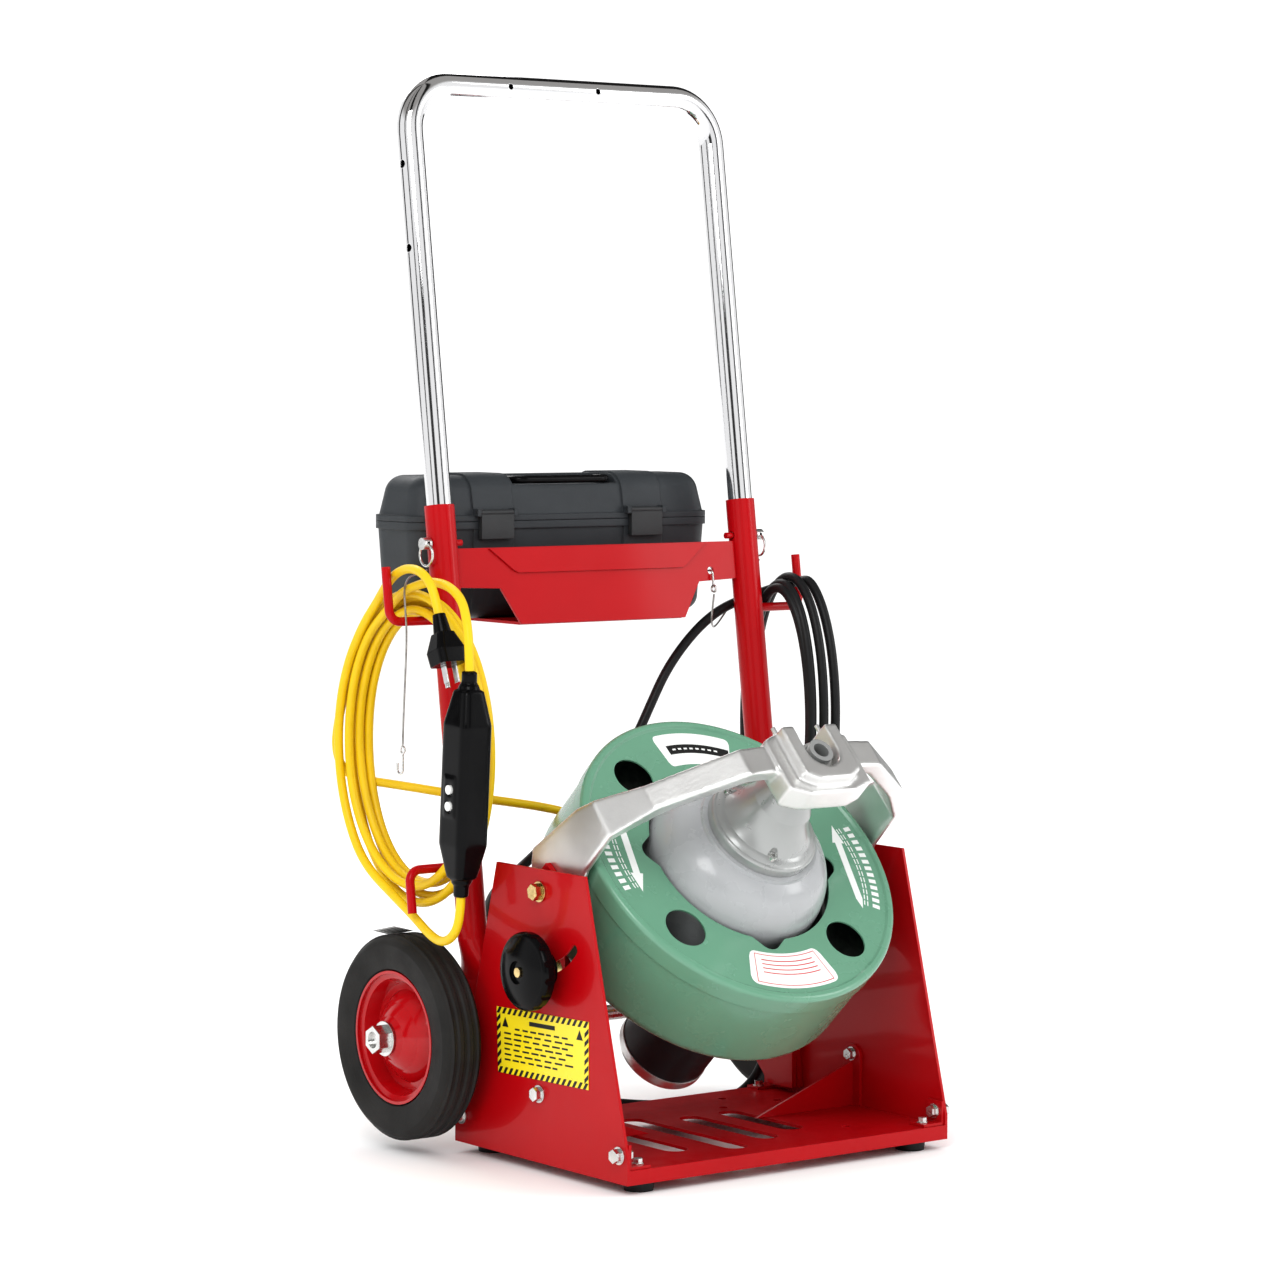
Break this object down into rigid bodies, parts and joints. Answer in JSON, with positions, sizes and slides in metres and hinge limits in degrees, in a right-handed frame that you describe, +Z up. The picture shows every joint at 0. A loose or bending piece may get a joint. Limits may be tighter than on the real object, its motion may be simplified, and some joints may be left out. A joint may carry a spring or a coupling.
{
  "type": "drum drain cleaning machine",
  "caption": "Wheeled drain cleaning machine: tilting cable drum in a sheet-metal stand with a telescoping handle, accessory case, coiled mains cord and air hose.",
  "frame": {"origin": "on the ground under the middle of the machine's bounding box, cords not counted", "axes": "+Z up, +X to the machine's right as seen from behind the camera side (front view right), +Y to the back where the wheels are"},
  "size_m": [0.5616, 0.5257, 1.0666],
  "materials": {
    "red_paint": "gloss",
    "rim_red": "gloss",
    "drum_green": "satin",
    "hub_grey": "satin",
    "cast_alloy": "as cast and machined",
    "chrome_tube": "polished",
    "zinc": "zinc plated",
    "yellow_zinc": "yellow zinc plated",
    "cable_steel": "oiled",
    "motor_grey": "satin",
    "black_plastic": "matte",
    "case_grey": "textured",
    "latch_plastic": "matte",
    "white_plastic": "gloss",
    "tyre_black": "matte",
    "black_rubber": "matte",
    "yellow_cord": "satin",
    "label": "printed film"
  },
  "bodies": {
    "stand": {"base_plate": "red_paint", "rubber_feet": "black_rubber", "side_plate_left": "red_paint", "side_plate_right": "red_paint", "base_brackets": "red_paint", "frame_bolts": "zinc", "hazard_label": "label", "axle": "zinc", "axle_brackets": "red_paint", "tube_left": "red_paint", "tube_right": "red_paint", "cross_plate": "red_paint", "case_shelf": "red_paint", "cord_hooks": "red_paint", "hose_hooks": "red_paint", "case_bottom": "case_grey", "power_cord_coil": "yellow_cord", "power_cord_run": "yellow_cord", "power_cord_leads": "yellow_cord", "interrupter": "black_plastic", "plug": "black_plastic", "air_hose_coil": "black_rubber", "air_hose_runs": "black_rubber", "foot_pedal": "black_rubber", "lanyards": "black_rubber", "snap_hooks": "zinc"},
    "handle": {"handle": "chrome_tube"},
    "ring_pin_left": {"ring_pin_left": "zinc"},
    "ring_pin_right": {"ring_pin_right": "zinc"},
    "wheel_left": {"tyre_left": "tyre_black", "rim_left": "rim_red"},
    "wheel_right": {"tyre_right": "tyre_black", "rim_right": "rim_red"},
    "cradle": {"yoke": "cast_alloy", "outlet_block": "cast_alloy", "rear_bracket": "red_paint", "cradle_bolts": "yellow_zinc", "motor_housing": "motor_grey", "motor_end_cap": "cast_alloy", "drive_belt": "black_rubber", "switch_box": "motor_grey", "motor_fittings": "black_plastic", "cradle_leads": "yellow_cord"},
    "tilt_knob": {"knob": "black_plastic"},
    "drum": {"drum_cover": "drum_green", "drum_body": "drum_green", "drum_pulley": "zinc", "snake_cable": "cable_steel"},
    "distributor": {"hub_cone": "hub_grey", "trumpet": "cast_alloy", "hub_screws": "zinc"},
    "motor_rotor": {"motor_pulley": "zinc"},
    "switch_lever": {"switch_lever": "zinc"},
    "case_lid": {"case_lid": "case_grey"},
    "latch_left": {"latch_left": "latch_plastic"},
    "latch_right": {"latch_right": "latch_plastic"},
    "case_handle": {"case_handle": "black_plastic"},
    "test_button": {"test_button": "white_plastic"},
    "reset_button": {"reset_button": "white_plastic"},
    "foot_treadle": {"foot_treadle": "black_plastic"}
  },
  "joints": [
    {"name": "handle_slide", "type": "slide", "parent": "stand", "child": "handle", "axis": [0, 0.1392, 0.9903], "range_m": [-0.294, 0]},
    {"name": "ring_pin_left_pull", "type": "slide", "parent": "stand", "child": "ring_pin_left", "axis": [-1, 0, 0], "range_m": [0, 0.012]},
    {"name": "ring_pin_right_pull", "type": "slide", "parent": "stand", "child": "ring_pin_right", "axis": [1, 0, 0], "range_m": [0, 0.012]},
    {"name": "wheel_left_spin", "type": "hinge", "parent": "stand", "child": "wheel_left", "pos_m": [-0.2375, 0.107, 0.114], "axis": [1, 0, 0], "continuous": true},
    {"name": "wheel_right_spin", "type": "hinge", "parent": "stand", "child": "wheel_right", "pos_m": [0.2375, 0.107, 0.114], "axis": [1, 0, 0], "continuous": true},
    {"name": "cradle_tilt", "type": "hinge", "parent": "stand", "child": "cradle", "pos_m": [0, -0.0615, 0.2724], "axis": [1, 0, 0], "range_deg": [-37, 15]},
    {"name": "tilt_knob_turn", "type": "hinge", "parent": "cradle", "child": "tilt_knob", "pos_m": [-0.2, -0.07388, 0.19892], "axis": [1, 0, 0], "range_deg": [0, 360]},
    {"name": "drum_spin", "type": "hinge", "parent": "cradle", "child": "drum", "pos_m": [0, -0.1192, 0.2981], "axis": [0, -0.7278, 0.6858], "continuous": true},
    {"name": "distributor_spin", "type": "hinge", "parent": "cradle", "child": "distributor", "pos_m": [0, -0.1192, 0.2981], "axis": [0, -0.7278, 0.6858], "continuous": true},
    {"name": "motor_spin", "type": "hinge", "parent": "cradle", "child": "motor_rotor", "pos_m": [0, -0.05675, 0.14857], "axis": [0, -0.7278, 0.6858], "continuous": true},
    {"name": "switch_throw", "type": "hinge", "parent": "cradle", "child": "switch_lever", "pos_m": [0, 0.03155, 0.17665], "axis": [1, 0, 0], "range_deg": [-18, 18]},
    {"name": "case_lid_hinge", "type": "hinge", "parent": "stand", "child": "case_lid", "pos_m": [0, 0.2575, 0.618], "axis": [1, 0, 0], "range_deg": [-100, 0]},
    {"name": "latch_left_hinge", "type": "hinge", "parent": "case_lid", "child": "latch_left", "pos_m": [-0.095, 0.1588, 0.627], "axis": [1, 0, 0], "range_deg": [-100, 0]},
    {"name": "latch_right_hinge", "type": "hinge", "parent": "case_lid", "child": "latch_right", "pos_m": [0.095, 0.1588, 0.627], "axis": [1, 0, 0], "range_deg": [-100, 0]},
    {"name": "case_handle_hinge", "type": "hinge", "parent": "case_lid", "child": "case_handle", "pos_m": [0, 0.198, 0.659], "axis": [1, 0, 0], "range_deg": [-95, 0]},
    {"name": "test_button_press", "type": "slide", "parent": "stand", "child": "test_button", "axis": [1, 0, 0], "range_m": [0, 0.0014], "stiffness_N_per_m": 600, "springref_m": -0.0015},
    {"name": "reset_button_press", "type": "slide", "parent": "stand", "child": "reset_button", "axis": [1, 0, 0], "range_m": [0, 0.0014], "stiffness_N_per_m": 600, "springref_m": -0.0015},
    {"name": "pedal_press", "type": "hinge", "parent": "stand", "child": "foot_treadle", "pos_m": [-0.04, 0.216, 0.025], "axis": [1, 0, 0], "range_deg": [0, 8], "stiffness_Nm_per_rad": 2.5, "springref_deg": -5.73}
  ],
  "couplings": [
    {"joint": "motor_spin", "follows": "drum_spin", "ratio": 2.1545}
  ]
}
